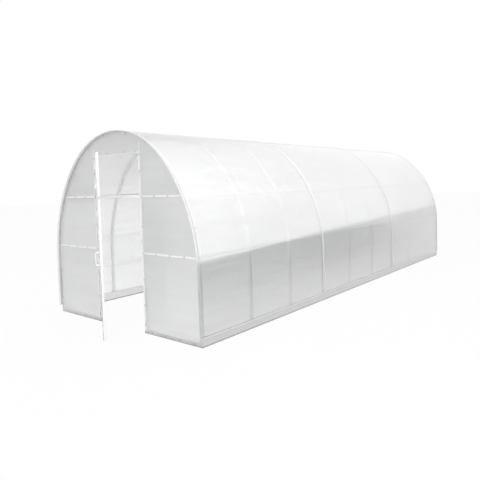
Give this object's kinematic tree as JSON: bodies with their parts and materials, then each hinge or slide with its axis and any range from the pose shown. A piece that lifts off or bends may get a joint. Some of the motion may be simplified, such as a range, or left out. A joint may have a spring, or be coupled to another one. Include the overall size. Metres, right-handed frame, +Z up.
{
  "type": "polycarbonate tunnel greenhouse",
  "caption": "Arched tunnel greenhouse: steel arches on a base frame, clad in translucent twin-wall sheet, with a hinged door and a vent leaf over it in the front gable.",
  "frame": {"origin": "on the ground in the middle of the base frame", "axes": "+Z up, +Y along the tunnel from the front gable with the door to the rear gable, +X across, to the right seen from the front"},
  "size_m": [3.0172, 8.7045, 2.6086],
  "materials": {
    "frame_steel": "satin white paint over galvanised tube",
    "clear_sheet": "translucent twin-wall polycarbonate, glossy outside",
    "fittings": "zinc plated",
    "edge_trim": "matt white"
  },
  "bodies": {
    "greenhouse": {"base_frame": "frame_steel", "arch_1": "frame_steel", "arch_2": "frame_steel", "arch_3": "frame_steel", "arch_4": "frame_steel", "arch_5": "frame_steel", "arch_6": "frame_steel", "arch_7": "frame_steel", "arch_8": "frame_steel", "arch_9": "frame_steel", "arch_10": "frame_steel", "ridge_purlin": "frame_steel", "left_purlin": "frame_steel", "right_purlin": "frame_steel", "front_left_post": "frame_steel", "front_right_post": "frame_steel", "front_header": "frame_steel", "front_upper_rails": "frame_steel", "front_mid_rails": "frame_steel", "front_left_sheet": "clear_sheet", "front_right_sheet": "clear_sheet", "front_crown_sheet": "clear_sheet", "vent_frame": "frame_steel", "vent_sheet": "clear_sheet", "vent_hinges": "fittings", "door_post_hinges": "fittings", "rear_left_post": "frame_steel", "rear_right_post": "frame_steel", "rear_upper_rails": "frame_steel", "rear_mid_rails": "frame_steel", "rear_left_sheet": "clear_sheet", "rear_middle_sheet": "clear_sheet", "rear_right_sheet": "clear_sheet", "cover_sheet_1": "clear_sheet", "cover_sheet_2": "clear_sheet", "cover_sheet_3": "clear_sheet", "joint_band_1": "frame_steel", "joint_band_2": "frame_steel", "front_trim": "edge_trim", "rear_trim": "edge_trim", "frame_brackets": "fittings", "turn_buttons": "fittings"},
    "front_door": {"door_frame": "frame_steel", "door_sheet": "clear_sheet", "door_leaf_hinges": "fittings", "door_handle": "fittings"}
  },
  "joints": [
    {"name": "front_door_hinge", "type": "hinge", "parent": "greenhouse", "child": "front_door", "pos_m": [-0.467, -4.0803, 0], "axis": [0, 0, -1], "range_deg": [-33, 87]}
  ]
}
